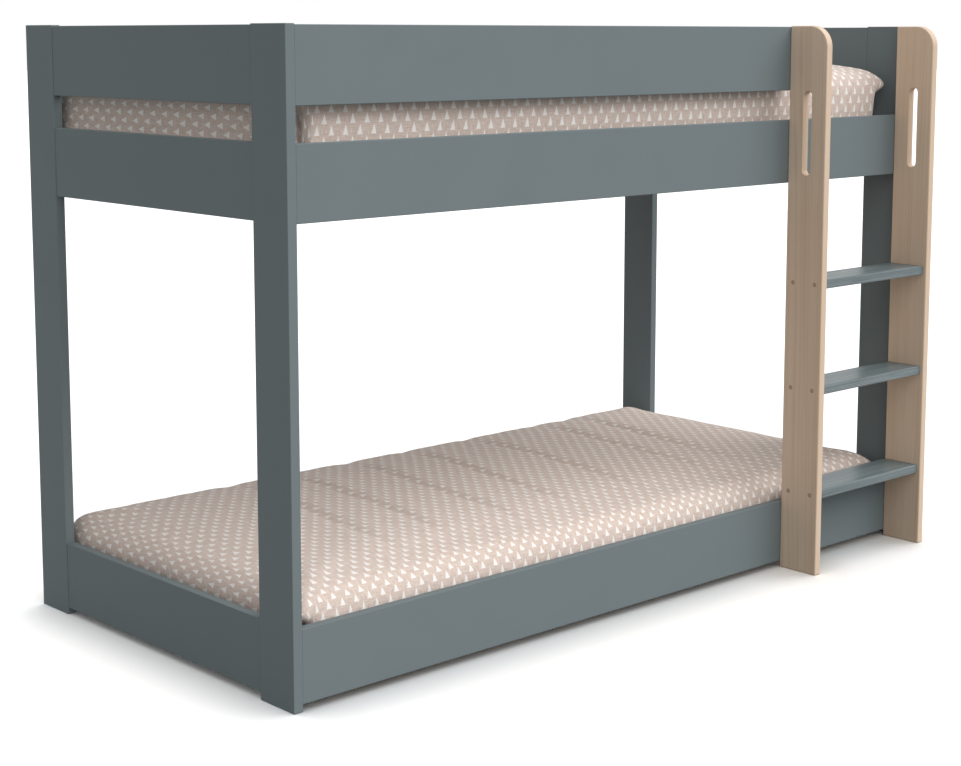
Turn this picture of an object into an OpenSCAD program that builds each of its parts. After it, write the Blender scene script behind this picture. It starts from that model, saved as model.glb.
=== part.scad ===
// Low bunk bed for two single mattresses, with a fixed ladder on its front.
// Flat boards are joined to four flat posts: glued dowels hold the end frames together,
// and hidden cam fittings hold the long boards between the two end frames.
// Millimetres. +X runs along the bed towards the ladder, +Y to the rear and +Z up.
// The origin is on the floor, under the middle of the bed and ladder together.

/* [Mattresses] */
// Length of a mattress
mattress_l = 1900; // [1800:10:2000]
// Width of a mattress
mattress_w = 900; // [800:10:1200]
// Height of a mattress in the middle of its top
mattress_h = 170; // [140:1:185]
// Free space at each end of a mattress
mattress_end_play = 8; // [4:1:20]
// Free space at each side of a mattress
mattress_side_play = 7; // [4:1:20]
// Gap between a mattress and the slats under it
mattress_lift = 0.3; // [0.2:0.1:1]
// Rounding along the top edge of a mattress
mattress_edge_r = 52; // [25:1:55]
// Rounding of the four corners of a mattress, seen from above
mattress_corner_r = 38; // [30:1:110]
// Rise of the top of a mattress from its edge to its middle
mattress_crown = 5; // [2:1:14]
// How far the top of a mattress sinks at its corners
mattress_corner_drop = 5; // [0:1:16]
// Distance from a corner over which its top sinks
mattress_corner_reach = 160; // [110:5:250]
// How far the bottom edge of a mattress is drawn in under the fullest part of its side
mattress_tuck = 8; // [1:1:15]
// Depth of the creases that run across the top of a mattress
crease_d = 3.5; // [1:0.5:8]
// Width of a crease
crease_w = 70; // [40:5:90]
// How far a crease leans along the bed for each millimetre to the rear
crease_lean = 0.12; // [-0.2:0.01:0.2]
// Distance from the front edge at which the creases start
crease_start = 120; // [50:10:200]
// Distance over which the creases then reach their full depth
crease_fade = 260; // [100:10:400]

/* [Posts and boards] */
// Height of the posts and of the ladder
post_h = 1317; // [1280:1:1600]
// Width of a post across the bed
post_w = 110; // [80:1:160]
// Thickness of a post along the bed
post_t = 22; // [19:1:30]
// Height of each rail and guard
board_h = 150; // [130:1:180]
// Thickness of each rail and guard
board_t = 20; // [18:1:25]
// How far the long boards lie inside the front and rear edges of the posts
long_inset = 1; // [0:0.5:5]
// Gap under the low rails
low_gap = 15; // [5:1:60]
// Gap between the upper rails and the guards
guard_gap = 70; // [50:1:75]
// How far the posts stand above the guards
post_proud = 2; // [0:1:20]

/* [Slatted bases] */
// Number of slats in a base
slat_n = 14; // [10:1:18]
// Width of a slat
slat_w = 70; // [50:1:90]
// Thickness of a slat
slat_t = 18; // [14:1:22]
// Free space at each end of a slat
slat_play = 2; // [1:0.5:6]
// Height of a ledger
ledger_h = 25; // [20:1:35]
// Thickness of a ledger across the bed
ledger_t = 25; // [20:1:30]
// Free space between the end of a ledger and the post
ledger_end = 50; // [45:1:80]
// Height of the lower ledgers above the bottom edge of the low rails
ledger_up = 2; // [0:1:20]
// Depth of the upper slats' top below the top edge of the rails
base_in = 40; // [30:1:60]
// Width of the tapes that hold the slats at their spacing
tape_w = 25; // [15:1:50]
// Thickness of a tape
tape_t = 1.2; // [0.8:0.1:2]
// Distance of a tape from the middle of the bed
tape_at = 250; // [100:10:330]

/* [Ladder] */
// Clear width between the uprights, which is the length of a tread
ladder_clear = 408; // [350:1:480]
// Gap between the ladder and the inner face of the right-hand posts
ladder_gap = 5; // [0:1:60]
// Depth of an upright from front to back
upright_d = 108; // [100:1:140]
// Thickness of an upright
upright_t = 21; // [19:1:30]
// Rounding of an upright's front corner at the top
upright_r = 50; // [10:1:80]
// Width of the hand-hold slot
slot_w = 25; // [20:1:30]
// Length of the hand-hold slot
slot_l = 200; // [120:1:240]
// How far the front guard stops short of the left upright's inner face
guard_short = 1; // [0:0.5:2]
// Depth of a tread from front to back
tread_d = 100; // [80:1:100]
// Thickness of a tread
tread_t = 22; // [18:1:30]
// Height of the top of the bottom tread
tread_first = 206; // [190:1:300]
// Rise from one tread to the next
tread_rise = 256; // [200:1:280]

/* [Dowels and cam fittings] */
// Added to the diameter of each hole that a fastener fits
fit = 0.2; // [0.1:0.05:0.4]
// Diameter of a dowel
dowel_d = 8; // [6:0.5:10]
// Length of a dowel
dowel_l = 35; // [25:1:40]
// Distance between the two dowels at the end of a board
dowel_pitch = 90; // [60:1:100]
// Diameter of a cam lock
cam_d = 15; // [12:0.5:18]
// How far a cam lock reaches past the middle of its board's thickness
cam_past = 4.3; // [4.1:0.1:4.5]
// Distance of a cam lock from the end of its board
cam_in = 34; // [24:1:35]
// Distance between the two cam locks at the end of a board
cam_pitch = 90; // [85:1:100]
// Diameter of a cam bolt
cam_bolt_d = 7; // [6:0.1:7.2]
// Diameter of the bore for a cam bolt
cam_bore_d = 7.6; // [7.4:0.1:7.9]
// Diameter of the tip that the cam lock pulls on
cam_tip_d = 5; // [4:0.1:5.8]
// Depth of a cam bolt in the post
cam_bolt_in = 11; // [8:0.5:14]

/* [Screws] */
// Diameter of the joint screws that hold the ladder and its treads
joint_screw_d = 7; // [6:0.1:8]
// Length of a joint screw
joint_screw_l = 50; // [40:1:50]
// Diameter of a joint screw's head
joint_head_d = 10; // [9:0.1:10.5]
// Height of a joint screw's head
joint_head_h = 3.5; // [2.5:0.1:4.5]
// Distance between the two joint screws where a board crosses an upright
ladder_screw_pitch = 60; // [50:1:65]
// Distance of a tread's rear screws from its rear edge
tread_screw_rear = 22; // [15:1:30]
// Distance of a tread's front screws from its front edge
tread_screw_front = 14; // [10:1:25]
// Diameter of a cap over a tread screw
cap_d = 11; // [10.8:0.1:13]
// Thickness of a cap
cap_t = 3; // [1.5:0.1:4]
// Diameter of the wood screws in the ledgers and slats
wood_screw_d = 4; // [3:0.1:5]
// Diameter of a wood screw's head
wood_head_d = 8; // [7:0.1:9]
// Height of a wood screw's head
wood_head_h = 3; // [2:0.1:4]
// Length of a ledger screw
ledger_screw_l = 35; // [32:1:40]
// Number of screws in a ledger
ledger_screw_n = 5; // [4:1:7]
// Distance of the outer ledger screws from the end of the ledger
ledger_screw_end = 100; // [80:1:150]
// Length of a slat screw
slat_screw_l = 30; // [26:1:34]

/* [Hidden] */
$fn = 48;
over = 1;               // overshoot of each cut past the face it starts from
hole_end = 0.5;         // room past the end of a fastener in its hole
sink = 0.5;             // depth of caps, cam locks and hidden screw heads below the surface
cam_slot = [10, 2, 2];  // driver slot in a cam lock: length, depth and width

// Posts and boards
inner_l = mattress_l + 2 * mattress_end_play;
inner_w = mattress_w + 2 * mattress_side_play;
bed_w = inner_w + 2 * (board_t + long_inset);
mid_y = (upright_d - long_inset) / 2;
end_board_l = bed_w - 2 * post_w;
guard_z = post_h - post_proud - board_h;
rail_z = guard_z - guard_gap - board_h;
low_z = low_gap;
levels = [low_z, rail_z, guard_z];
cam_h = board_t / 2 + cam_past - sink;

// Slatted bases
base_l = inner_l - 2 * ledger_end;
lower_ledger_z = low_z + ledger_up;
upper_ledger_z = rail_z + board_h - base_in - slat_t - ledger_h;
slat_pitch = (base_l - slat_w) / (slat_n - 1);
ledger_screw_pitch = (base_l - 2 * ledger_screw_end) / (ledger_screw_n - 1);

// Ladder
ladder_back = mid_y - bed_w / 2 + long_inset;
upright_x = [inner_l / 2 - ladder_gap - ladder_clear - 1.5 * upright_t,
             inner_l / 2 - ladder_gap - upright_t / 2];
tread_tops = [for (i = [0 : 2]) tread_first + i * tread_rise];

// The ends of the long boards that meet a post, as [end, side, height of the board].
// The front guard stops at the ladder, so its right-hand end meets no post.
long_ends = [for (side = [-1, 1]) for (z = levels) for (end = [-1, 1])
             if (side > 0 || end < 0 || z != guard_z) [end, side, z]];

// The places where a front board crosses an upright, as [centre of the upright, board height]
ladder_crossings = [for (x = upright_x) for (z = levels)
                    if (x < upright_x[1] || z != guard_z) [x, z]];

// Middles of the creases along a mattress, and how finely its edges and crown are divided
crease_x = [-555, -405, -205, -20, 205, 460, 595];
edge_steps = [0, 30, 60, 90];
corner_steps = [90, 67.5, 45, 22.5, 0];
crown_steps = [0.25, 0.5, 0.75];

// ---- Shared shapes ----

// A round rod from point p along the axis-parallel vector v, which may taper to end_d
module rod(p, v, d, end_d = 0) {
    turn = v.x != 0 ? [0, 90 * sign(v.x), 0]
         : v.y != 0 ? [-90 * sign(v.y), 0, 0]
         : [v.z < 0 ? 180 : 0, 0, 0];
    translate(p)
        rotate(turn)
            cylinder(h = norm(v), d1 = d, d2 = end_d > 0 ? end_d : d);
}

// A hole that starts in the face at point p and goes in along v
module hole(p, v, d) {
    out = over * v / norm(v);
    rod(p - out, v + out, d);
}

// The heights of two fasteners that are spaced evenly about the middle of a board
function pair(z, pitch) = [for (k = [-0.5, 0.5]) z + board_h / 2 + k * pitch];

// The Y of the inner face and of the middle of the long boards on a side
function long_inner_y(side) = mid_y + side * inner_w / 2;
function long_mid_y(side) = long_inner_y(side) + side * board_t / 2;

// ---- Dowels, cam fittings and screws ----

// The dowels between an end board and a post, which reach equally far into both
module dowels(end, side, z, reach, d) {
    joint_y = mid_y + side * end_board_l / 2;
    for (h = pair(z, dowel_pitch))
        rod([end * (inner_l + board_t) / 2, joint_y - reach, h], [0, 2 * reach, 0], d);
}

module dowel_holes(end, side, z) {
    dowels(end, side, z, dowel_l / 2 + hole_end, dowel_d + fit);
}

// The pocket for a cam lock and the bore for its bolt, at one end of a long board
module cam_holes(end, side, z) {
    for (h = pair(z, cam_pitch)) {
        hole([end * (inner_l / 2 - cam_in), long_inner_y(side), h],
             [0, side * (sink + cam_h), 0], cam_d + fit);
        hole([end * inner_l / 2, long_mid_y(side), h], [-end * cam_in, 0, 0], cam_bore_d);
    }
}

// A cam lock, with its driver slot and the bore that takes the tip of the bolt
module cam_lock(end, side, h) {
    x = end * (inner_l / 2 - cam_in);
    y = long_inner_y(side) + side * sink;
    difference() {
        rod([x, y, h], [0, side * cam_h, 0], cam_d);
        translate([x, y, h])
            cube([cam_slot.x, 2 * cam_slot.y, cam_slot.z], center = true);
        rod([x, long_mid_y(side), h], [end * cam_d, 0, 0], cam_tip_d + fit);
    }
}

// A cam bolt, screwed into the post, with its tip in the cam lock
module cam_bolt(end, side, h) {
    shank = cam_bolt_in + cam_in - cam_d / 2 - sink;
    start = [end * (inner_l / 2 + cam_bolt_in), long_mid_y(side), h];
    rod(start, [-end * shank, 0, 0], cam_bolt_d);
    rod(start - [end * shank, 0, 0], [-end * cam_d / 2, 0, 0], cam_tip_d);
}

// A joint screw whose head lies flush with point p, or the hole that it fits
module joint_screw(p, v, play = 0, room = 0) {
    rod(p, v * (joint_head_h + room), joint_head_d + play);
    rod(p + v * joint_head_h, v * (joint_screw_l - joint_head_h + room), joint_screw_d + play);
}

// A countersunk wood screw whose head lies flush with point p, or the hole that it fits
module wood_screw(p, v, length, play = 0, room = 0) {
    rod(p, v * wood_head_h, wood_head_d + play, wood_screw_d + play);
    rod(p + v * wood_head_h, v * (length - wood_head_h + room), wood_screw_d + play);
}

// Screws, or their holes, where a front board crosses an upright
module crossing_screws(x, z, play = 0, room = 0) {
    for (h = pair(z, ladder_screw_pitch))
        joint_screw([x, long_inner_y(-1) - sink, h], [0, -1, 0], play, room);
}

module crossing_holes(x, z) {
    crossing_screws(x, z, fit, hole_end);
    for (h = pair(z, ladder_screw_pitch))
        hole([x, long_inner_y(-1), h], [0, -sink, 0], joint_head_d + fit);
}

// The centres of the screws in one end of the tread with this top, as [y, z]
function tread_screw_yz(top) = [
    [ladder_back - tread_screw_rear, top - tread_t / 2],
    [ladder_back - tread_d + tread_screw_front, top - tread_t / 2]
];

// The outer face of the left (-1) or right (1) upright
function upright_outer_x(end) = upright_x[(end + 1) / 2] + end * upright_t / 2;

module tread_end_screws(end, top, play = 0, room = 0) {
    for (c = tread_screw_yz(top))
        joint_screw([upright_outer_x(end) - end * (sink + cap_t), c.x, c.y],
                    [-end, 0, 0], play, room);
}

module tread_end_holes(end, top) {
    tread_end_screws(end, top, fit, hole_end);
    for (c = tread_screw_yz(top))
        hole([upright_outer_x(end), c.x, c.y], [-end * (sink + cap_t), 0, 0], cap_d + fit);
}

// Screws, or their holes, along a ledger
module ledger_screw_row(side, z, play = 0, room = 0) {
    y = long_inner_y(side) - side * ledger_t;
    for (i = [0 : ledger_screw_n - 1])
        wood_screw([-base_l / 2 + ledger_screw_end + i * ledger_screw_pitch, y, z + ledger_h / 2],
                   [0, side, 0], ledger_screw_l, play, room);
}

// Screws, or their holes, that fix the first and the last slat to both ledgers
module slat_screw_set(ledger_z, play = 0, room = 0) {
    top = ledger_z + ledger_h + slat_t;
    for (end = [-1, 1]) for (side = [-1, 1])
        wood_screw([end * (base_l - slat_w) / 2, long_inner_y(side) - side * ledger_t / 2, top],
                   [0, 0, -1], slat_screw_l, play, room);
}

// ---- Posts and boards ----

module post(end, side) {
    x = end * (inner_l + post_t) / 2;
    y = mid_y + side * (bed_w - post_w) / 2;
    color("#6f7b7c")
        difference() {
            translate([x - post_t / 2, y - post_w / 2, 0])
                cube([post_t, post_w, post_h]);
            for (z = levels)
                dowel_holes(end, side, z);
            for (e = long_ends)
                if (e.x == end && e.y == side)
                    for (h = pair(e.z, cam_pitch))
                        hole([end * inner_l / 2, long_mid_y(side), h],
                             [end * (cam_bolt_in + hole_end), 0, 0], cam_bolt_d + fit);
        }
}

module end_board(end, z) {
    color("#6f7b7c")
        difference() {
            translate([end * (inner_l + board_t) / 2 - board_t / 2, mid_y - end_board_l / 2, z])
                cube([board_t, end_board_l, board_h]);
            for (side = [-1, 1])
                dowel_holes(end, side, z);
        }
}

// A long board on a side, from x0 to x1, with the holes for all that is fixed to it
module long_board(side, z, x0, x1) {
    color("#737f80")
        difference() {
            translate([x0, long_mid_y(side) - board_t / 2, z])
                cube([x1 - x0, board_t, board_h]);
            for (e = long_ends)
                if (e.y == side && e.z == z)
                    cam_holes(e.x, side, z);
            if (side < 0)
                for (c = ladder_crossings)
                    if (c.y == z)
                        crossing_holes(c.x, z);
            if (z == low_z)
                ledger_screw_row(side, lower_ledger_z, fit, hole_end);
            if (z == rail_z)
                ledger_screw_row(side, upper_ledger_z, fit, hole_end);
        }
}

module full_board(side, z) {
    long_board(side, z, -inner_l / 2, inner_l / 2);
}

module front_guard() {
    long_board(-1, guard_z, -inner_l / 2, upright_x[0] + upright_t / 2 - guard_short);
}

module end_board_dowels() {
    color("burlywood")
        for (end = [-1, 1]) for (side = [-1, 1]) for (z = levels)
            dowels(end, side, z, dowel_l / 2, dowel_d);
}

module cam_locks() {
    color("silver")
        for (e = long_ends) for (h = pair(e.z, cam_pitch))
            cam_lock(e.x, e.y, h);
}

module cam_bolts() {
    color("lightsteelblue")
        for (e = long_ends) for (h = pair(e.z, cam_pitch))
            cam_bolt(e.x, e.y, h);
}

// ---- Slatted bases ----

module ledger(side, z) {
    color("#d8c19b")
        difference() {
            translate([-base_l / 2, long_inner_y(side) - side * ledger_t / 2 - ledger_t / 2, z])
                cube([base_l, ledger_t, ledger_h]);
            ledger_screw_row(side, z, fit, hole_end);
            slat_screw_set(z, fit, hole_end);
        }
}

module ledger_screws() {
    color("silver")
        for (z = [lower_ledger_z, upper_ledger_z]) for (side = [-1, 1])
            ledger_screw_row(side, z);
}

module slats(ledger_z) {
    length = inner_w - 2 * slat_play;
    color("#e0cba6")
        difference() {
            for (i = [0 : slat_n - 1])
                translate([-base_l / 2 + i * slat_pitch, mid_y - length / 2, ledger_z + ledger_h])
                    cube([slat_w, length, slat_t]);
            slat_screw_set(ledger_z, fit);
        }
}

module slat_screws() {
    color("silver")
        for (z = [lower_ledger_z, upper_ledger_z])
            slat_screw_set(z);
}

module slat_tapes(ledger_z) {
    color("#d9d6cf")
        for (side = [-1, 1])
            translate([-base_l / 2, mid_y + side * tape_at - tape_w / 2, ledger_z + ledger_h - tape_t])
                cube([base_l, tape_w, tape_t]);
}

// ---- Ladder ----

// The outline of an upright seen from its side, with the front corner rounded at the top
module upright_outline() {
    square([upright_d - upright_r, post_h]);
    square([upright_d, post_h - upright_r]);
    translate([upright_d - upright_r, post_h - upright_r])
        circle(r = upright_r);
}

// A slot with round ends, whose top is level with the bottom edge of the guards
module slot_outline() {
    for (z = [guard_z - slot_w / 2, guard_z - slot_l + slot_w / 2])
        translate([upright_d / 2, z])
            circle(d = slot_w);
    translate([(upright_d - slot_w) / 2, guard_z - slot_l + slot_w / 2])
        square([slot_w, slot_l - slot_w]);
}

module ladder_upright(end) {
    x = upright_x[(end + 1) / 2];
    color("#cab9a6")
        difference() {
            translate([x + upright_t / 2, ladder_back, 0])
                rotate([90, 0, -90])
                    linear_extrude(upright_t)
                        difference() {
                            upright_outline();
                            slot_outline();
                        }
            for (top = tread_tops)
                tread_end_holes(end, top);
            for (c = ladder_crossings)
                if (c.x == x)
                    crossing_holes(x, c.y);
        }
}

module ladder_tread(top) {
    color("#7d8889")
        difference() {
            translate([upright_x[0] + upright_t / 2, ladder_back - tread_d, top - tread_t])
                cube([ladder_clear, tread_d, tread_t]);
            for (end = [-1, 1])
                tread_end_holes(end, top);
        }
}

module ladder_screws() {
    color("silver")
        for (c = ladder_crossings)
            crossing_screws(c.x, c.y);
}

module tread_screws() {
    color("silver")
        for (end = [-1, 1]) for (top = tread_tops)
            tread_end_screws(end, top);
}

module tread_screw_caps() {
    color("#a3876a")
        for (end = [-1, 1]) for (top = tread_tops) for (c = tread_screw_yz(top))
            rod([upright_outer_x(end) - end * sink, c.x, c.y], [-end * cap_t, 0, 0], cap_d);
}

// ---- Mattresses ----

// Height lost by a rounding of radius r at a distance from the end of a mattress
function rounding(r, from_end) = r - sqrt(max(0, r * r - pow(max(0, r - from_end), 2)));

// How much of its depth a crease has at distance y from the middle of the mattress
function crease_at(y) = min(1, max(0, (y + mattress_w / 2 - crease_start) / crease_fade));

// How far the top sinks near a corner
function corner_sink(from_end, from_side) =
    mattress_corner_drop * max(0, 1 - from_end / mattress_corner_reach)
    * max(0, 1 - from_side / mattress_corner_reach);

// The cross-section at x, as [y, z] from the front bottom edge over the top to the rear.
// Drop is the depth of the crease here.
function mattress_section(x, drop) =
    let (
        from_end = mattress_l / 2 - abs(x),
        half_w = mattress_w / 2 - rounding(mattress_corner_r, from_end),
        edge_z = mattress_h - mattress_crown - rounding(mattress_edge_r, from_end),
        crown = mattress_crown * (1 - pow(2 * x / mattress_l, 4)),
        top_w = half_w - mattress_edge_r,
        half = concat(
            [[half_w - mattress_tuck, 0]],
            [[half_w, (edge_z - mattress_edge_r) / 2]],
            [for (a = edge_steps)
                [top_w + mattress_edge_r * cos(a), edge_z - mattress_edge_r * (1 - sin(a))]],
            [for (s = crown_steps) [top_w * (1 - s), edge_z + crown * (1 - pow(1 - s, 2))]]
        ),
        n = len(half),
        front = [for (p = half) [-p.x, p.y]],
        rear = [for (i = [n - 1 : -1 : 0]) half[i]]
    )
    [for (p = concat(front, [[0, edge_z + crown]], rear))
        let (sink_here = drop * crease_at(p.x) + corner_sink(from_end, half_w - abs(p.x)))
        [p.x, p.y - (p.y > edge_z - mattress_edge_r / 2 ? sink_here : 0)]];

// One soft block: sections along X, closed by a flat face at each end.
// The stations are close together where the ends round off and at each crease.
module mattress(base_z) {
    ends = concat(
        [for (a = corner_steps) mattress_l / 2 - mattress_corner_r * (1 - sin(a))],
        [mattress_l / 2 - mattress_corner_reach]
    );
    stations = concat(
        [for (x = ends) [-x, 0]],
        [for (x = crease_x) for (k = [-1, 0, 1]) [x + k * crease_w / 2, k == 0 ? crease_d : 0]],
        [for (i = [len(ends) - 1 : -1 : 0]) [ends[i], 0]]
    );
    sections = [for (s = stations) mattress_section(s.x, s.y)];
    n = len(sections[0]);
    m = len(stations);
    points = [for (i = [0 : m - 1]) for (p = sections[i])
              [stations[i].x + crease_lean * p.x * (1 - pow(2 * stations[i].x / mattress_l, 2)), p.x, p.y]];
    sides = [for (i = [0 : m - 2]) for (j = [0 : n - 1])
             let (a = i * n + j, b = i * n + (j + 1) % n)
             each [[a, b, a + n], [b, b + n, a + n]]];
    caps = [for (j = [1 : n - 2])
            each [[0, j + 1, j], [(m - 1) * n, (m - 1) * n + j, (m - 1) * n + j + 1]]];
    color("#c9b6aa")
        translate([0, mid_y, base_z + mattress_lift])
            polyhedron(points = points, faces = concat(sides, caps));
}

// ---- Assembly ----

post(-1, -1);  // post_front_left
post(1, -1);  // post_front_right
post(-1, 1);  // post_rear_left
post(1, 1);  // post_rear_right
end_board(-1, guard_z);  // end_guard_left
end_board(1, guard_z);  // end_guard_right
end_board(-1, rail_z);  // end_rail_left
end_board(1, rail_z);  // end_rail_right
end_board(-1, low_z);  // end_low_rail_left
end_board(1, low_z);  // end_low_rail_right
front_guard();
full_board(1, guard_z);  // rear_guard
full_board(-1, rail_z);  // front_rail
full_board(1, rail_z);  // rear_rail
full_board(-1, low_z);  // front_low_rail
full_board(1, low_z);  // rear_low_rail
end_board_dowels();
cam_locks();
cam_bolts();
ledger(-1, upper_ledger_z);  // upper_ledger_front
ledger(1, upper_ledger_z);  // upper_ledger_rear
ledger(-1, lower_ledger_z);  // lower_ledger_front
ledger(1, lower_ledger_z);  // lower_ledger_rear
ledger_screws();
slats(upper_ledger_z);  // upper_slats
slats(lower_ledger_z);  // lower_slats
slat_screws();
slat_tapes(upper_ledger_z);  // upper_slat_tapes
slat_tapes(lower_ledger_z);  // lower_slat_tapes
ladder_upright(-1);  // ladder_upright_left
ladder_upright(1);  // ladder_upright_right
ladder_tread(tread_tops[0]);  // ladder_tread_bottom
ladder_tread(tread_tops[1]);  // ladder_tread_middle
ladder_tread(tread_tops[2]);  // ladder_tread_top
ladder_screws();
tread_screws();
tread_screw_caps();
mattress(upper_ledger_z + ledger_h + slat_t);  // upper_mattress
mattress(lower_ledger_z + ledger_h + slat_t);  // lower_mattress
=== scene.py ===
import math

import bmesh
import bpy
import numpy as np
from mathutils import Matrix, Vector, noise


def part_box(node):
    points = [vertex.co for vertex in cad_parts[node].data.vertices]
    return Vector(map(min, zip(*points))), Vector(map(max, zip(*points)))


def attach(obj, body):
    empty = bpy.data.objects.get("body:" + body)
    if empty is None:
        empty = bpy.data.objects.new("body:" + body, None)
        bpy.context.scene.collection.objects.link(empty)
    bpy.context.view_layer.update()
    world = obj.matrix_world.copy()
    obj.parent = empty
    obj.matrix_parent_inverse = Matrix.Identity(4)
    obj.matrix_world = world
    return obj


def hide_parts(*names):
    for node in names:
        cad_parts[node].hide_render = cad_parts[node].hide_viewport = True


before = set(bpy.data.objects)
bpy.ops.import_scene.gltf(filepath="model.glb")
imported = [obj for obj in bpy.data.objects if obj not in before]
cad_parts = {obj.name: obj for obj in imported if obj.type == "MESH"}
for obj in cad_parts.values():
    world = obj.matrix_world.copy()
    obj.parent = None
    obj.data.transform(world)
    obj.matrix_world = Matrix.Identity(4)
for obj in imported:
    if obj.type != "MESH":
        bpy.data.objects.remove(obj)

scene = bpy.context.scene
scene.view_settings.view_transform = "Standard"
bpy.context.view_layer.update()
bedBody = "bed_frame"


# Camera, close to the photograph's own. It looks down a little, so that its shift stays small.
cameraSettings = {
    "place": (-3.0244, -3.1823, 1.2932),
    "yaw": 42.53,      # degrees from +Y towards +X
    "pitch": -7.43,    # degrees, looking down
    "lens": 69.3,
    "sensor": 36,
    "shift": -0.11,
}


def makeCamera(settings):
    data = bpy.data.cameras.new("photoCamera")
    data.lens = settings["lens"]
    data.sensor_width = settings["sensor"]
    data.shift_y = settings["shift"]
    camera = bpy.data.objects.new("photoCamera", data)
    scene.collection.objects.link(camera)
    yaw, pitch = math.radians(settings["yaw"]), math.radians(settings["pitch"])
    ahead = math.cos(pitch)
    look = Vector((math.sin(yaw) * ahead, math.cos(yaw) * ahead, math.sin(pitch)))
    camera.location = settings["place"]
    camera.rotation_mode = "QUATERNION"
    camera.rotation_quaternion = look.to_track_quat("-Z", "Y")
    scene.camera = camera


makeCamera(cameraSettings)
print("camera placed")


# Small helpers for node trees
def addNode(tree, kind, **settings):
    node = tree.nodes.new(kind)
    for name, value in settings.items():
        setattr(node, name, value)
    return node


def plug(tree, value, socket):
    if isinstance(value, bpy.types.NodeSocket):
        tree.links.new(value, socket)
    else:
        socket.default_value = value


def calc(tree, operation, a, b=0.0):
    node = addNode(tree, "ShaderNodeMath", operation=operation)
    plug(tree, a, node.inputs[0])
    plug(tree, b, node.inputs[1])
    return node.outputs[0]


def blendColors(tree, factor, a, b):
    node = addNode(tree, "ShaderNodeMix", data_type="RGBA")
    plug(tree, factor, node.inputs["Factor"])
    plug(tree, a, node.inputs["A"])
    plug(tree, b, node.inputs["B"])
    return node.outputs["Result"]


def remap(tree, value, low, high, newLow=0.0, newHigh=1.0):
    node = addNode(tree, "ShaderNodeMapRange", clamp=True)
    for given, socket in zip((value, low, high, newLow, newHigh), node.inputs):
        plug(tree, given, socket)
    return node.outputs[0]


def scaled(tree, vector, scale):
    node = addNode(tree, "ShaderNodeVectorMath", operation="MULTIPLY")
    plug(tree, vector, node.inputs[0])
    plug(tree, scale, node.inputs[1])
    return node.outputs[0]


def splitVector(tree, vector):
    node = addNode(tree, "ShaderNodeSeparateXYZ")
    plug(tree, vector, node.inputs[0])
    return node.outputs


def objectPlace(tree):
    return addNode(tree, "ShaderNodeTexCoord").outputs["Object"]


def noiseAt(tree, vector, scale=1.0, detail=2.0, roughness=0.5):
    node = addNode(tree, "ShaderNodeTexNoise")
    plug(tree, vector, node.inputs["Vector"])
    plug(tree, scale, node.inputs["Scale"])
    plug(tree, detail, node.inputs["Detail"])
    plug(tree, roughness, node.inputs["Roughness"])
    return node.outputs["Fac"]


def newGroup(name, numbers, outputs):
    group = bpy.data.node_groups.new(name, "ShaderNodeTree")
    group.interface.new_socket("Vector", in_out="INPUT", socket_type="NodeSocketVector")
    for label in numbers:
        group.interface.new_socket(label, in_out="INPUT", socket_type="NodeSocketFloat")
    for label in outputs:
        group.interface.new_socket(label, in_out="OUTPUT", socket_type="NodeSocketFloat")
    return group, group.nodes.new("NodeGroupInput").outputs, group.nodes.new("NodeGroupOutput").inputs


def useGroup(tree, group, **values):
    node = addNode(tree, "ShaderNodeGroup", node_tree=group)
    for label, value in values.items():
        plug(tree, value, node.inputs[label])
    return node.outputs


def newMaterial(name, roughness, specular=0.5):
    material = bpy.data.materials.new(name)
    material.use_nodes = True
    tree = material.node_tree
    shader = tree.nodes["Principled BSDF"]
    shader.inputs["Roughness"].default_value = roughness
    shader.inputs["Specular IOR Level"].default_value = specular
    return material, tree, shader


commonNoise = (0.3, 0.7)    # most values of a noise lie between these


# Lets the roughness follow a mask, a little below and above the finish's own
def varyRoughness(tree, shader, mask, look):
    low, high = look["roughness"] - look["smoother"], look["roughness"] + look["rougher"]
    plug(tree, remap(tree, mask, *commonNoise, low, high), shader.inputs["Roughness"])


def addBump(tree, shader, height, relief):
    distance, strength = relief
    node = addNode(tree, "ShaderNodeBump")
    node.inputs["Strength"].default_value = strength
    node.inputs["Distance"].default_value = distance
    plug(tree, height, node.inputs["Height"])
    tree.links.new(node.outputs["Normal"], shader.inputs["Normal"])


# Wood figure: growth rings round an axis that leans a little from the grain, and fine fibres.
# The grain runs along Z of the vector that comes in, so a scale is across, across and along it.
figure = {
    "sway": (7.0, 7.0, 0.9),
    "fibre": (620.0, 620.0, 7.0),
    "tone": (26.0, 26.0, 0.8),
    "patch": (75.0, 75.0, 1.1),
    "patchRange": (0.36, 0.64),
    "faintest": 0.15,          # what is left of a ring between two patches
    "lateWood": (0.55, 0.95),  # share of a ring at which its dark part starts and is darkest
}


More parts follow.
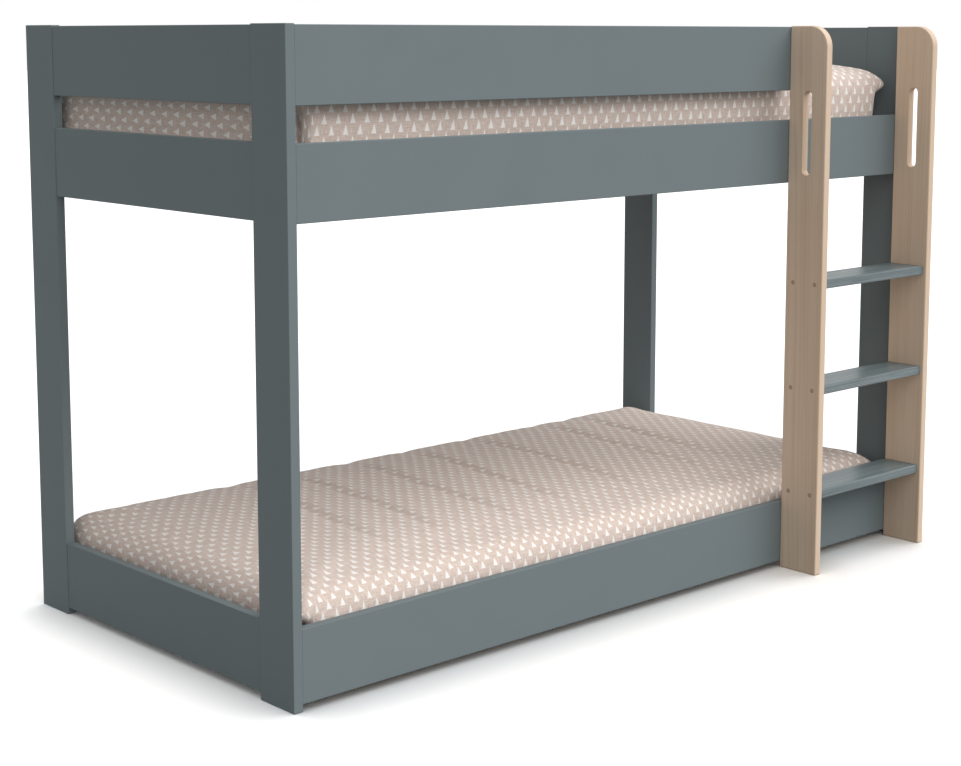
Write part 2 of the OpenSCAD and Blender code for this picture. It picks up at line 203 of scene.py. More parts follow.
def makeWoodGroup():
    group, given, made = newGroup("woodFigure", ["Ring", "Lean", "Wander"], ["Rings", "Fibre", "Tone"])
    vector = given["Vector"]
    x, y, z = splitVector(group, vector)
    squares = calc(group, "ADD", calc(group, "MULTIPLY", x, x), calc(group, "MULTIPLY", y, y))
    leaning = calc(group, "ADD", calc(group, "SQRT", squares), calc(group, "MULTIPLY", z, given["Lean"]))
    sway = calc(group, "SUBTRACT", noiseAt(group, scaled(group, vector, figure["sway"])), 0.5)
    depth = calc(group, "ADD", leaning, calc(group, "MULTIPLY", sway, given["Wander"]))
    turn = calc(group, "FRACT", calc(group, "DIVIDE", depth, given["Ring"]))
    rise = remap(group, turn, *figure["lateWood"])
    fall = remap(group, turn, figure["lateWood"][1], 1.0, 1.0, 0.0)
    patches = noiseAt(group, scaled(group, vector, figure["patch"]))
    patchy = remap(group, patches, *figure["patchRange"], figure["faintest"], 1.0)
    plug(group, calc(group, "MULTIPLY", calc(group, "MULTIPLY", rise, fall), patchy), made["Rings"])
    fibre = noiseAt(group, scaled(group, vector, figure["fibre"]), detail=3.0, roughness=0.6)
    plug(group, fibre, made["Fibre"])
    plug(group, noiseAt(group, scaled(group, vector, figure["tone"])), made["Tone"])
    return group


# Paint skin: soft roller mottle and the fine orange peel of a sprayed satin coat
skinScales = {"mottle": 9.0, "peel": 420.0}


def makePaintGroup():
    group, given, made = newGroup("paintSkin", [], ["Mottle", "Peel"])
    plug(group, noiseAt(group, given["Vector"], skinScales["mottle"], detail=3.0), made["Mottle"])
    plug(group, noiseAt(group, given["Vector"], skinScales["peel"]), made["Peel"])
    return group


# Plain weave, from a flat cloth coordinate in metres
slubScales = {"along": 45.0, "across": 520.0}


def makeWeaveGroup():
    group, given, made = newGroup("plainWeave", ["Pitch"], ["Height", "Slub"])
    x, y = splitVector(group, given["Vector"])[:2]
    along = calc(group, "DIVIDE", x, given["Pitch"])
    across = calc(group, "DIVIDE", y, given["Pitch"])
    warp = calc(group, "ABSOLUTE", calc(group, "SINE", calc(group, "MULTIPLY", along, math.pi)))
    weft = calc(group, "ABSOLUTE", calc(group, "SINE", calc(group, "MULTIPLY", across, math.pi)))
    cell = calc(group, "ADD", calc(group, "FLOOR", along), calc(group, "FLOOR", across))
    over = calc(group, "ABSOLUTE", calc(group, "MODULO", cell, 2.0))
    high = calc(group, "MULTIPLY", warp, over)
    low = calc(group, "MULTIPLY", weft, calc(group, "SUBTRACT", 1.0, over))
    plug(group, calc(group, "ADD", high, low), made["Height"])
    warpScale = (slubScales["along"], slubScales["across"], 1.0)
    weftScale = (slubScales["across"], slubScales["along"], 1.0)
    slubs = [noiseAt(group, scaled(group, given["Vector"], scale)) for scale in (warpScale, weftScale)]
    plug(group, calc(group, "MULTIPLY", calc(group, "ADD", *slubs), 0.5), made["Slub"])
    return group


woodFigure = makeWoodGroup()
paintSkin = makePaintGroup()
plainWeave = makeWeaveGroup()


# Finishes. A relief is the depth of a bump in metres, and its strength.
paint = {
    "color": (0.166, 0.202, 0.213, 1),
    "warm": (0.178, 0.208, 0.215, 1),
    "roughness": 0.45,
    "smoother": 0.04,
    "rougher": 0.05,
    "specular": 0.045,
    "relief": (0.00012, 0.35),
}


def paintedBoard(look):
    material, tree, shader = newMaterial("slatePaint", look["roughness"], look["specular"])
    skin = useGroup(tree, paintSkin, Vector=objectPlace(tree))
    plug(tree, blendColors(tree, skin["Mottle"], look["color"], look["warm"]), shader.inputs["Base Color"])
    varyRoughness(tree, shader, skin["Mottle"], look)
    addBump(tree, shader, skin["Peel"], look["relief"])
    return material


# Turns the object's place so that the grain runs along Z, and moves the heart of the tree to the axis
def grainVector(tree, along, heart):
    place = splitVector(tree, objectPlace(tree))
    order = {"x": (1, 2, 0), "y": (2, 0, 1), "z": (0, 1, 2)}[along]
    joined = addNode(tree, "ShaderNodeCombineXYZ")
    for target, source in enumerate(order):
        plug(tree, calc(tree, "SUBTRACT", place[source], heart[target]), joined.inputs[target])
    return joined.outputs[0]


treadPaint = {
    "color": (0.086, 0.116, 0.125, 1),
    "light": (0.275, 0.322, 0.332, 1),
    "roughness": 0.36,
    "smoother": 0.06,
    "rougher": 0.06,
    "specular": 0.28,
    "heart": (-0.60, -0.10, 0.0),
    "ring": 0.0030,
    "lean": 0.006,
    "wander": 0.022,
    "ringShare": 0.35,
    "fibreShare": 0.65,
    "streakRange": (0.25, 0.68),
    "relief": (0.0004, 0.6),
}


def paintedTread(look):
    material, tree, shader = newMaterial("grainyPaint", look["roughness"], look["specular"])
    vector = grainVector(tree, "x", look["heart"])
    wood = useGroup(tree, woodFigure, Vector=vector, Ring=look["ring"], Lean=look["lean"],
                    Wander=look["wander"])
    rings = calc(tree, "MULTIPLY", wood["Rings"], look["ringShare"])
    streak = calc(tree, "ADD", rings, calc(tree, "MULTIPLY", wood["Fibre"], look["fibreShare"]))
    shade = blendColors(tree, remap(tree, streak, *look["streakRange"]), look["color"], look["light"])
    plug(tree, shade, shader.inputs["Base Color"])
    varyRoughness(tree, shader, wood["Fibre"], look)
    addBump(tree, shader, streak, look["relief"])
    return material


woodLooks = {
    "upright": {
        "base": (0.690, 0.527, 0.388, 1), "dark": (0.500, 0.354, 0.240, 1), "pale": (0.748, 0.597, 0.464, 1),
        "ring": 0.0029, "lean": 0.004, "wander": 0.012, "roughness": 0.50, "smoother": 0.05, "rougher": 0.08,
    },
    "pine": {
        "base": (0.690, 0.510, 0.300, 1), "dark": (0.520, 0.330, 0.160, 1), "pale": (0.770, 0.620, 0.410, 1),
        "ring": 0.0060, "lean": 0.010, "wander": 0.020, "roughness": 0.62, "smoother": 0.05, "rougher": 0.08,
    },
}
woodMix = {
    "specular": 0.10,
    "toneRange": (0.32, 0.68),
    "ringShare": 0.36,
    "fibreRange": (0.52, 0.80),
    "fibreShare": 0.42,
    "relief": (0.00018, 0.5),
}


def bareWood(name, look, along, heart):
    material, tree, shader = newMaterial(name, look["roughness"], woodMix["specular"])
    wood = useGroup(tree, woodFigure, Vector=grainVector(tree, along, heart), Ring=look["ring"],
                    Lean=look["lean"], Wander=look["wander"])
    shade = blendColors(tree, remap(tree, wood["Tone"], *woodMix["toneRange"]), look["base"], look["pale"])
    rings = calc(tree, "MULTIPLY", wood["Rings"], woodMix["ringShare"])
    shade = blendColors(tree, rings, shade, look["dark"])
    fibres = remap(tree, wood["Fibre"], *woodMix["fibreRange"], 0.0, woodMix["fibreShare"])
    shade = blendColors(tree, fibres, shade, look["dark"])
    plug(tree, shade, shader.inputs["Base Color"])
    varyRoughness(tree, shader, wood["Fibre"], look)
    addBump(tree, shader, wood["Fibre"], woodMix["relief"])
    return material


fittingLooks = {
    "zinc": {"color": (0.52, 0.53, 0.54), "roughness": 0.42, "metal": 1.0},
    "steel": {"color": (0.60, 0.61, 0.62), "roughness": 0.30, "metal": 1.0},
    "cap": {"color": (0.430, 0.305, 0.215), "roughness": 0.55, "metal": 0.0},
}
grit = {
    "scale": 700.0,
    "dullShare": 0.35,
    "dullShade": 0.72,
    "smoother": 0.06,
    "rougher": 0.10,
    "relief": (0.00005, 0.5),
}


def fittingFinish(name, kind):
    look = {**grit, **fittingLooks[kind]}
    material, tree, shader = newMaterial(name, look["roughness"])
    shader.inputs["Metallic"].default_value = look["metal"]
    grains = noiseAt(tree, objectPlace(tree), look["scale"], detail=3.0, roughness=0.6)
    clean = look["color"] + (1,)
    dull = tuple(look["dullShade"] * part for part in look["color"]) + (1,)
    tone = blendColors(tree, remap(tree, grains, *commonNoise, 0.0, look["dullShare"]), clean, dull)
    plug(tree, tone, shader.inputs["Base Color"])
    varyRoughness(tree, shader, grains, look)
    addBump(tree, shader, grains, look["relief"])
    return material


# The tape's colour follows the weave's height: painted shade in the hollows between threads, lighter on the
# thread tops
tapeLook = {
    "hollow": (0.42, 0.40, 0.35, 1),
    "thread": (0.70, 0.68, 0.62, 1),
    "pitch": 0.0016,
    "roughness": 0.85,
    "specular": 0.2,
    "relief": (0.0003, 0.6),
}


def webbingTape(look):
    material, tree, shader = newMaterial("wovenTape", look["roughness"], look["specular"])
    weave = useGroup(tree, plainWeave, Vector=objectPlace(tree), Pitch=look["pitch"])
    # Painted shade: the hollows between threads take the darker colour
    tone = blendColors(tree, weave["Height"], look["hollow"], look["thread"])
    plug(tree, tone, shader.inputs["Base Color"])
    addBump(tree, shader, weave["Height"], look["relief"])
    return material


cover = {
    "cloth": (0.775, 0.656, 0.585, 1),
    # the darker cloth tone, used for the slubs and for the painted shade between threads
    "clothDeep": (0.550, 0.437, 0.378, 1),
    "slubRange": (0.36, 0.64),
    "weave": 0.0009,
    "hollowShadeShare": 0.12,       # painted shade: how much darker the cloth is painted between two threads
    "hollowTop": 0.6,
    "roughness": 0.88,
    "specular": 0.15,
    "sheen": 0.25,
    "sheenRoughness": 0.5,
    "slubRelief": 2.0,
    "relief": (0.00025, 0.5),
    "print": (0.950, 0.925, 0.895, 1),
    "printShare": 0.86,
    "columnPitch": 0.0345,
    "rowPitch": 0.022,
    "width": 0.0132,
    "height": 0.0205,
    "sideBlur": 0.0007,
    "footBlur": 0.0003,
    "wobble": 0.0012,          # how far the ink bleeds out of line
    "wobbleScale": 260.0,
}


# A staggered repeat of small triangles on the flat cloth, as a mask from 0 to 1
def triangleMask(tree, flat, look):
    x, y = splitVector(tree, flat)[:2]
    row = calc(tree, "DIVIDE", y, look["rowPitch"])
    odd = calc(tree, "MULTIPLY", calc(tree, "FLOORED_MODULO", calc(tree, "FLOOR", row), 2.0), 0.5)
    column = calc(tree, "ADD", calc(tree, "DIVIDE", x, look["columnPitch"]), odd)
    side = calc(tree, "ABSOLUTE", calc(tree, "SUBTRACT", calc(tree, "FRACT", column), 0.5))
    side = calc(tree, "MULTIPLY", side, look["columnPitch"])
    rise = calc(tree, "MULTIPLY", calc(tree, "FRACT", row), look["rowPitch"])
    foot = (look["rowPitch"] - look["height"]) / 2
    slope = look["width"] / 2 / look["height"]
    reach = calc(tree, "MULTIPLY", calc(tree, "SUBTRACT", foot + look["height"], rise), slope)
    inside = remap(tree, calc(tree, "SUBTRACT", reach, side), -look["sideBlur"], look["sideBlur"])
    above = remap(tree, calc(tree, "SUBTRACT", rise, foot), -look["footBlur"], look["footBlur"])
    return calc(tree, "MULTIPLY", inside, above)


# The cloth's flat place, moved a little this way and that
def wobbled(tree, flat, look):
    wobble = addNode(tree, "ShaderNodeTexNoise")
    plug(tree, flat, wobble.inputs["Vector"])
    wobble.inputs["Scale"].default_value = look["wobbleScale"]
    shift = addNode(tree, "ShaderNodeVectorMath", operation="MULTIPLY_ADD")
    plug(tree, wobble.outputs["Color"], shift.inputs[0])
    shift.inputs[1].default_value = (look["wobble"], look["wobble"], 0.0)
    plug(tree, flat, shift.inputs[2])
    return shift.outputs[0]


def printedCover(look):
    material, tree, shader = newMaterial("printedCover", look["roughness"], look["specular"])
    shader.inputs["Sheen Weight"].default_value = look["sheen"]
    shader.inputs["Sheen Roughness"].default_value = look["sheenRoughness"]
    flat = addNode(tree, "ShaderNodeUVMap", uv_map="flatCloth").outputs[0]
    mask = calc(tree, "MULTIPLY", triangleMask(tree, wobbled(tree, flat, look), look), look["printShare"])
    weave = useGroup(tree, plainWeave, Vector=flat, Pitch=look["weave"])
    slubs = remap(tree, weave["Slub"], *look["slubRange"])
    shade = blendColors(tree, mask, blendColors(tree, slubs, look["clothDeep"], look["cloth"]), look["print"])
    # Painted shade: between the threads the cloth is darkened towards its deep tone
    hollow = remap(tree, weave["Height"], 0.0, look["hollowTop"], look["hollowShadeShare"], 0.0)
    plug(tree, blendColors(tree, hollow, shade, look["clothDeep"]), shader.inputs["Base Color"])
    height = calc(tree, "ADD", weave["Height"], calc(tree, "MULTIPLY", weave["Slub"], look["slubRelief"]))
    addBump(tree, shader, height, look["relief"])
    return material


# The last values say where the heart of the tree lies, so that each wood shows its own rings
slatePaint = paintedBoard(paint)
grainyPaint = paintedTread(treadPaint)
leftUprightWood = bareWood("uprightWoodLeft", woodLooks["upright"], "z", (0.860, -0.380, 0.0))
rightUprightWood = bareWood("uprightWoodRight", woodLooks["upright"], "z", (1.300, -0.620, 0.0))
slatPine = bareWood("slatPine", woodLooks["pine"], "y", (-0.9, 0.0, 0.0))
ledgerPine = bareWood("ledgerPine", woodLooks["pine"], "x", (0.3, -0.2, 0.0))
dowelBeech = bareWood("dowelBeech", woodLooks["pine"], "y", (0.0, 0.0, 0.0))
zinc = fittingFinish("zincCast", "zinc")
steel = fittingFinish("platedSteel", "steel")
capBrown = fittingFinish("capBrown", "cap")
tape = webbingTape(tapeLook)
clothCover = printedCover(cover)
print("finishes made")


def setMaterial(piece, material):
    piece.data.materials.clear()
    piece.data.materials.append(material)


def link(name, mesh, material):
    piece = bpy.data.objects.new(name, mesh)
    scene.collection.objects.link(piece)
    setMaterial(piece, material)
    return piece


def camelName(node):
    first, *rest = node.split("_")
    return first + "".join(word.capitalize() for word in rest)


# Radius of the eased edges, and the length from which an edge is eased
easing = {
    "board": {"radius": 0.0015, "shortest": 0.017},
    "upright": {"radius": 0.0030, "shortest": 0.0042},
    "tread": {"radius": 0.0030, "shortest": 0.015},
    "slat": {"radius": 0.0015, "shortest": 0.015},
}
edgeRules = {
    "merge": 0.00001,
    "flat": 0.5,       # degrees, below which two faces are one
    "corner": 60,      # degrees, above which an edge is eased
    "sharp": 50,       # degrees, above which an edge is left hard
    "segments": 3,
}
uprightLow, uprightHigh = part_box("ladder_upright_left")
handHold = {
    "middle": (uprightLow[1] + uprightHigh[1]) / 2,
    "reach": 0.016,    # to both sides of the middle
    "low": 0.955,
    "high": 1.175,
    "radius": 0.0004,
}


# Whether an edge of an upright lies round its hand-hold slot
def atHandHold(edge):
    return all(abs(place.y - handHold["middle"]) < handHold["reach"]
               and handHold["low"] < place.z < handHold["high"]
               for place in (vert.co for vert in edge.verts))


def bevelEdges(bm, edges, radius):
    bmesh.ops.bevel(bm, geom=edges, offset=radius, segments=edgeRules["segments"], profile=0.5,
                    affect="EDGES", material=-1, clamp_overlap=True)


# A CAD mesh merged, with its long edges eased as a router leaves them. A hand-hold is eased less.
def easedMesh(node, ease, hasHandHold):
    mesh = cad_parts[node].data.copy()
    bm = bmesh.new()
    bm.from_mesh(mesh)
    bmesh.ops.remove_doubles(bm, verts=bm.verts, dist=edgeRules["merge"])
    bmesh.ops.dissolve_limit(bm, angle_limit=math.radians(edgeRules["flat"]), verts=bm.verts, edges=bm.edges)
    cornerAngle, sharpAngle = math.radians(edgeRules["corner"]), math.radians(edgeRules["sharp"])
    corners = [edge for edge in bm.edges if edge.is_manifold and edge.calc_face_angle() > cornerAngle]
    inner = [edge for edge in corners if hasHandHold and atHandHold(edge)]
    straight = [edge for edge in corners if edge.calc_length() > ease["shortest"] and edge not in inner]
    bevelEdges(bm, straight, ease["radius"])
    if inner:
        bevelEdges(bm, [edge for edge in inner if edge.is_valid], handHold["radius"])
    for face in bm.faces:
        face.smooth = True
    for edge in bm.edges:
        edge.smooth = not edge.is_manifold or edge.calc_face_angle() < sharpAngle
    bm.to_mesh(mesh)
    bm.free()
    for label in [layer.name for layer in mesh.color_attributes]:
        mesh.color_attributes.remove(mesh.color_attributes[label])
    return mesh


def easedCopy(node, material, ease, hasHandHold=False):
    piece = link(camelName(node), easedMesh(node, ease, hasHandHold), material)
    even = piece.modifiers.new("evenShading", "WEIGHTED_NORMAL")
    even.keep_sharp = True
    even.weight = 100
    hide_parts(node)
    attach(piece, bedBody)


boards = ["post_front_left", "post_front_right", "post_rear_left", "post_rear_right",
          "end_guard_left", "end_guard_right", "end_rail_left", "end_rail_right",
          "end_low_rail_left", "end_low_rail_right", "front_guard", "rear_guard",
          "front_rail", "rear_rail", "front_low_rail", "rear_low_rail"]
for board in boards:
    easedCopy(board, slatePaint, easing["board"])
easedCopy("ladder_upright_left", leftUprightWood, easing["upright"], hasHandHold=True)
easedCopy("ladder_upright_right", rightUprightWood, easing["upright"], hasHandHold=True)
for level in ("bottom", "middle", "top"):
    easedCopy("ladder_tread_" + level, grainyPaint, easing["tread"])
for base in ("upper", "lower"):
    easedCopy(base + "_slats", slatPine, easing["slat"])
    for side in ("front", "rear"):
        easedCopy(base + "_ledger_" + side, ledgerPine, easing["slat"])
print("boards, ladder and slats eased")


plainNodes = {
    "end_board_dowels": dowelBeech, "cam_locks": zinc, "cam_bolts": steel, "ledger_screws": steel,
    "slat_screws": steel, "ladder_screws": steel, "tread_screws": steel, "tread_screw_caps": capBrown,
    "upper_slat_tapes": tape, "lower_slat_tapes": tape,
}
for node, material in plainNodes.items():
    setMaterial(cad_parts[node], material)
print("fittings finished")


# Mattresses: a slightly small blank is remeshed, blown up as cloth and then creased
mattressLook = {
    "shrink": 0.005,
    "voxel": 0.012,
    "pressure": 4.0,
    "clothMass": 0.3,
    "stretch": 12,
    "bending": 0.4,
    "quality": 5,
    "frames": 20,
    "held": 0.02,          # height of the strip along the underside that doesn't swell
    "cap": 0.009,          # how far a point may swell
    "edge": 0.052,         # rounding along the top edge
    "corner": 0.062,       # how far the turn of a corner reaches, seen from above
    "bulge": 0.0066,       # how far the sides stand out between the rails
    "bulgeFrom": 0.020,
    "bulgeAbove": 0.01,
    "creases": (-0.555, -0.405, -0.205, -0.020, 0.205, 0.460, 0.595),    # places along the length
    "lean": 0.12,
    "leanFrom": 0.45,      # the middle of the width, where a crease has its own place
    "creaseDepth": 0.0056,
    "creaseWidth": 0.014,
    "ridge": (0.3, 0.035, 0.022),    # share of the depth, place beside the crease, and width
    "sway": (0.006, 9, 2.1),         # size, turns along the crease, and turn from one to the next
    "fadeStart": 0.070,
    "fadeLength": 0.220,
    "rearFade": (0.70, 0.84),
    "rearFadeShare": 0.9,
    "endDrop": 0.0070,     # how far the top slopes down towards the two ends
    "endReach": 0.110,
    "shoulder": 0.012,     # lift between the top and the ear of a corner
    "shoulderReach": 0.095,
    "shoulderDepth": 0.080,
    "earBelowTop": 0.052,  # where the cover stands out in a pinched corner
    "earOut": 0.012,
    "earSpread": 0.019,
    "rearEar": 0.4,
    "tuckIn": 0.028,       # how far a front corner draws in below that
    "tuckDepth": 0.045,
    "rearTuck": -0.19,     # share of it at a rear corner, which stays square
    "pleat": 0.0040,
    "pleatTurns": 19,
    "crumple": 0.0032,
    "crumpleScales": (34, 80, 0.5),     # of the coarse and the fine noise, and the share of the fine one
    "lump": 0.0016,
    "lumpScales": (9, 23, 0.6),
    "sideLump": 0.00208,
    "sideScale": 12,
    "noiseStep": 3.1,      # how far apart the two mattresses lie in the noise
    "origin": 2.0,         # keeps the flat cloth's coordinate above zero
    "play": (0.0070, 0.0070, 0.004),    # how far it may stand proud of its blank
}


def freeze(piece, name):
    mesh = bpy.data.meshes.new_from_object(piece.evaluated_get(bpy.context.evaluated_depsgraph_get()))
    mesh.name = name
    return mesh


def points(mesh):
    flat = np.zeros(len(mesh.vertices) * 3)
    mesh.vertices.foreach_get("co", flat)
    return flat.reshape(-1, 3)


def setPoints(mesh, places):
    mesh.vertices.foreach_set("co", places.astype(np.float32).ravel())
    mesh.update()


def mattressBlank(node, look):
    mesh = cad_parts[node].data.copy()
    bm = bmesh.new()
    bm.from_mesh(mesh)
    bmesh.ops.remove_doubles(bm, verts=bm.verts, dist=edgeRules["merge"])
    bm.normal_update()
    for vert in bm.verts:
        vert.co -= vert.normal * look["shrink"]
    bm.to_mesh(mesh)
    bm.free()
    blank = bpy.data.objects.new("blank", mesh)
    scene.collection.objects.link(blank)
    remesh = blank.modifiers.new("remesh", "REMESH")
    remesh.mode = "VOXEL"
    remesh.voxel_size = look["voxel"]
    solid = freeze(blank, "blankSolid")
    bpy.data.objects.remove(blank)
    return solid


def addCloth(pad, look):
    cloth = pad.modifiers.new("cloth", "CLOTH")
    cloth.settings.quality = look["quality"]
    cloth.settings.mass = look["clothMass"]
    cloth.settings.tension_stiffness = look["stretch"]
    cloth.settings.compression_stiffness = look["stretch"]
    cloth.settings.bending_stiffness = look["bending"]
    cloth.settings.use_pressure = True
    cloth.settings.uniform_pressure_force = look["pressure"]
    cloth.settings.vertex_group_mass = "held"
    cloth.settings.effector_weights.gravity = 0
    cloth.point_cache.frame_start = 1
    cloth.point_cache.frame_end = look["frames"]


def blowUp(mesh, look):
    pad = bpy.data.objects.new("pad", mesh)
    scene.collection.objects.link(pad)
    start = points(mesh)
    strip = np.nonzero(start[:, 2] < start[:, 2].min() + look["held"])[0]
    pad.vertex_groups.new(name="held").add([int(index) for index in strip], 1.0, "REPLACE")
    addCloth(pad, look)
    for step in range(1, look["frames"] + 1):
        scene.frame_set(step)
    blown = freeze(pad, "blown")
    move = points(blown) - start
    length = np.linalg.norm(move, axis=1, keepdims=True)
    move *= np.minimum(1, look["cap"] / np.maximum(length, 1e-9))
    setPoints(blown, start + move)
    bpy.data.objects.remove(pad)
    scene.frame_set(1)
    return blown


# How far each point lies out past the flat top, and in which direction from above
def outward(places, centre, half, look):
    reach = np.abs(places[:, :2] - centre[:2]) - (half[:2] - look["corner"])
    past = np.maximum(reach, 0)
    length = np.linalg.norm(past, axis=1)
    way = past / np.maximum(length, 1e-9)[:, None] * np.sign(places[:, :2] - centre[:2])
    return np.maximum(length - (look["corner"] - look["edge"]), 0), way


def smoothStep(value, low, high):
    t = np.clip((value - low) / (high - low), 0, 1)
    return t * t * (3 - 2 * t)


def hump(distance, width, power=2):
    return np.exp(-(distance / width) ** power)


# Creases across the top, each between two low ridges, that fade out towards both long sides
def pressCreases(places, x, y, onTop, look, seed):
    share, beside, width = look["ridge"]
    size, turns, offset = look["sway"]
    strength = np.clip((y - look["fadeStart"]) / look["fadeLength"], 0, 1)
    strength *= 1 - look["rearFadeShare"] * smoothStep(y, *look["rearFade"])
    drop = np.zeros(len(places))
    for number, at in enumerate(look["creases"]):
        bend = size * np.sin(y * turns + number * offset + seed)
        off = x - (at + look["lean"] * (y - look["leanFrom"]) + bend)
        drop += hump(off, look["creaseWidth"])
        drop -= share * hump(np.abs(off) - beside, width)
    places[:, 2] -= look["creaseDepth"] * drop * strength * onTop


# The cover is pinched to a small ear at each corner and draws in, pleated, below it
def pinchCorners(places, way, centre, half, top, look, seed):
    sharp = np.abs(np.abs(places[:, :2] - centre[:2]) - half[:2])
    near = hump(np.linalg.norm(sharp, axis=1), look["shoulderReach"])
    deep = top - places[:, 2]
    places[:, 2] += look["shoulder"] * near * np.sin(np.pi * np.clip(deep / look["shoulderDepth"], 0, 1))
    deep = top - places[:, 2]
    turn = np.arctan2(np.abs(way[:, 1]), np.abs(way[:, 0]))
    diagonal = np.sin(2 * turn)
    rear = places[:, 1] > centre[1]
    ear = look["earOut"] * hump(np.abs(deep - look["earBelowTop"]), look["earSpread"], 3)
    ear *= np.where(rear, look["rearEar"], 1.0)
    below = smoothStep(deep, look["earBelowTop"], look["earBelowTop"] + look["tuckDepth"])
    tuck = look["tuckIn"] * below * np.where(rear, look["rearTuck"], 1.0)
    folds = look["pleat"] * diagonal ** 2 * below * (1 + np.sin(turn * look["pleatTurns"] + seed * 2))
    places[:, :2] += way * (diagonal ** 5 * ear - diagonal ** 2 * tuck - folds)[:, None]
    return near


def unevenness(spot, scales):
    coarse, fine, share = scales
    return noise.noise(spot * coarse) + share * noise.noise(spot * fine)


def roughen(places, way, out, onTop, near, look, seed):
    for index in np.nonzero((onTop > 0) | (out > 0))[0]:
        spot = Vector(places[index]) + Vector((seed * look["noiseStep"], 0, 0))
        places[index, 2] += look["lump"] * onTop[index] * unevenness(spot, look["lumpScales"])
        push = look["sideLump"] * noise.noise(spot * look["sideScale"])
        push += look["crumple"] * near[index] * unevenness(spot, look["crumpleScales"])
        places[index, :2] += way[index] * push * (out[index] > 0)


def shapeMattress(mesh, low, high, look, seed):
    places = points(mesh)
    centre, half = (low + high) / 2, (high - low) / 2
    out, way = outward(places, centre, half, look)
    onTop = np.clip((places[:, 2] - (high[2] - look["edge"])) / look["edge"], 0, 1)
    x, y = places[:, 0] - centre[0], places[:, 1] - centre[1] + half[1]
    pressCreases(places, x, y, onTop, look, seed)
    places[:, 2] -= look["endDrop"] * onTop * smoothStep(np.abs(x), half[0] - look["endReach"], half[0])
    bulge = look["bulge"] * smoothStep(out, look["bulgeFrom"], look["edge"])
    places[:, :2] += way * (bulge * (places[:, 2] > low[2] + look["bulgeAbove"]))[:, None]
    near = pinchCorners(places, way, centre, half, high[2], look, seed)
    roughen(places, way, out, onTop, near, look, seed)
    limit = half + np.array(look["play"])
    places = np.clip(places, centre - limit, centre + limit)
    places[:, 2] = np.maximum(places[:, 2], low[2])
    setPoints(mesh, places)


# The cover's cloth laid flat: straight on top, and folded down over the edges
def layFlat(mesh, low, high, look):
    places = points(mesh)
    centre, half = (low + high) / 2, (high - low) / 2
    out, way = outward(places, centre, half, look)
    spring = high[2] - look["edge"]
    angle = np.arctan2(out, np.maximum(places[:, 2] - spring, 1e-6))
    down = look["edge"] * angle + np.maximum(spring - places[:, 2], 0)
    down = np.where(out > 0, down, 0)
    flat = places[:, :2] - centre[:2] - way * out[:, None] + way * down[:, None]
    layer = mesh.uv_layers.new(name="flatCloth")
    corner = np.zeros(len(mesh.loops), dtype=np.int32)
    mesh.loops.foreach_get("vertex_index", corner)
    layer.data.foreach_set("uv", (flat[corner] + look["origin"]).astype(np.float32).ravel())


def makeMattress(node, name, look, seed):
    low, high = (np.array(corner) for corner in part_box(node))
    mesh = mattressBlank(node, look)
    mesh = blowUp(mesh, look)
    pad = bpy.data.objects.new("pad", mesh)
    scene.collection.objects.link(pad)
    smooth = pad.modifiers.new("smooth", "SUBSURF")
    smooth.levels = smooth.render_levels = 1
    fine = freeze(pad, name)
    bpy.data.objects.remove(pad)
    shapeMattress(fine, low, high, look, seed)
    layFlat(fine, low, high, look)
    fine.shade_smooth()
    piece = link(name, fine, clothCover)
    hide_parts(node)
    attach(piece, node)
    print(name, "made with", len(fine.polygons), "faces")


makeMattress("upper_mattress", "upperMattress", mattressLook, 1.0)
makeMattress("lower_mattress", "lowerMattress", mattressLook, 2.0)


# Floor, light and background
light = {
    "world": 0.43,
    "key": (0.77, 34.0, 45.0),    # brightness on a surface that faces it, and its direction in degrees
    "fill": (0.26, -31.0, 30.0),  # from the front towards the ladder end, and above the floor
    "softness": 60.0,
    "floorSize": 60,
    "floorBounce": 0.58,
    "floorShadow": 3.35,          # how strongly the floor shows the shadow of the soft light
    "contact": 0.55,              # painted contact shadow: share of the floor's colour left right at the foot of the bed
    "contactReach": 0.15,
    "contactRange": (0.5, 1.0),
    "contactSamples": 8,
}


def softSun(name, place, softness):
    brightness, turn, height = place
    data = bpy.data.lights.new(name, "SUN")
    data.energy = brightness * math.pi
    data.angle = math.radians(softness)
    lamp = bpy.data.objects.new(name, data)
    scene.collection.objects.link(lamp)
    side, rise = math.radians(turn), math.radians(height)
    source = Vector((math.sin(side) * math.cos(rise), -math.cos(side) * math.cos(rise), math.sin(rise)))
    lamp.rotation_mode = "QUATERNION"
    lamp.rotation_quaternion = source.to_track_quat("Z", "Y")
    return lamp


def seenDirectly(tree):
    path = addNode(tree, "ShaderNodeLightPath")
    mirrored = calc(tree, "MAXIMUM", path.outputs["Is Glossy Ray"], path.outputs["Is Transmission Ray"])
    return calc(tree, "MAXIMUM", path.outputs["Is Camera Ray"], mirrored)


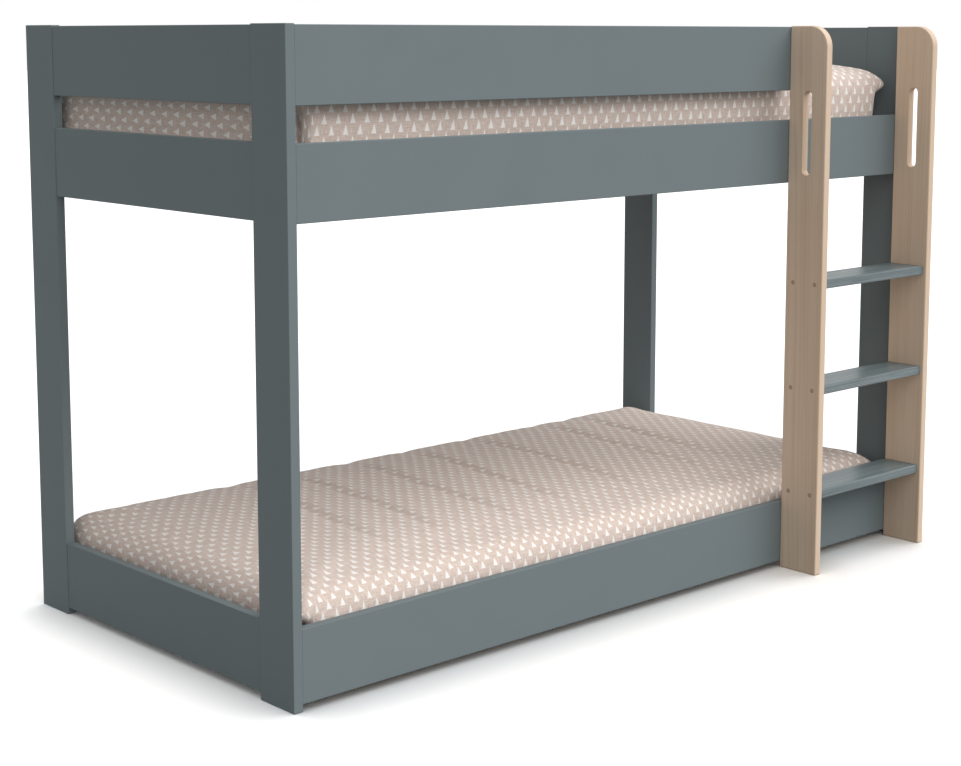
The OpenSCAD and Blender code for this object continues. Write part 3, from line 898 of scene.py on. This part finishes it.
# Joins what the light of the room sees and what the eye sees, and puts it out
def showTwoWays(tree, output, lit, seen):
    mixed = addNode(tree, "ShaderNodeMixShader")
    plug(tree, seenDirectly(tree), mixed.inputs[0])
    plug(tree, lit.outputs[0], mixed.inputs[1])
    plug(tree, seen.outputs[0], mixed.inputs[2])
    plug(tree, mixed.outputs[0], addNode(tree, output).inputs["Surface"])


def whiteWorld(strength):
    world = bpy.data.worlds.new("studio")
    scene.world = world
    world.use_nodes = True
    tree = world.node_tree
    tree.nodes.clear()
    soft = addNode(tree, "ShaderNodeBackground")
    soft.inputs["Strength"].default_value = strength
    plain = addNode(tree, "ShaderNodeBackground")
    for background in (soft, plain):
        background.inputs["Color"].default_value = (1, 1, 1, 1)
    showTwoWays(tree, "ShaderNodeOutputWorld", soft, plain)


# The floor is white to the eye and darker where the bed keeps the light of the room away; near the bed its
# colour also carries a painted contact shadow
def floorMaterial(look):
    material = bpy.data.materials.new("paleFloor")
    material.use_nodes = True
    tree = material.node_tree
    tree.nodes.clear()
    bounce = addNode(tree, "ShaderNodeBsdfDiffuse")
    bounce.inputs["Color"].default_value = (look["floorBounce"],) * 3 + (1,)
    shadow = addNode(tree, "ShaderNodeBsdfDiffuse")
    # Painted contact shadow: an occlusion mask darkens the floor's colour close to the bed
    contactShadeMask = addNode(tree, "ShaderNodeAmbientOcclusion", samples=look["contactSamples"])
    contactShadeMask.inputs["Distance"].default_value = look["contactReach"]
    share = remap(tree, contactShadeMask.outputs["AO"], *look["contactRange"], look["contact"], 1.0)
    plug(tree, calc(tree, "MULTIPLY", share, look["floorShadow"]), shadow.inputs["Color"])
    showTwoWays(tree, "ShaderNodeOutputMaterial", bounce, shadow)
    return material


def makeFloor(look):
    bm = bmesh.new()
    bmesh.ops.create_grid(bm, x_segments=1, y_segments=1, size=look["floorSize"])
    mesh = bpy.data.meshes.new("floor")
    bm.to_mesh(mesh)
    bm.free()
    floor = link("floor", mesh, floorMaterial(look))
    return floor


# Keeps the lamps off the floor, so that only the soft light of the room and the painted contact shadow darken
# it
def spareFloor(lamps, floor):
    spared = bpy.data.collections.new("sparedFloor")
    spared.objects.link(floor)
    for lamp in lamps:
        lamp.light_linking.receiver_collection = spared
    spared.collection_objects[0].light_linking.link_state = "EXCLUDE"


whiteWorld(light["world"])
keyLight = softSun("keyLight", light["key"], light["softness"])
fillLight = softSun("fillLight", light["fill"], light["softness"])
spareFloor((keyLight, fillLight), makeFloor(light))
print("studio lit")
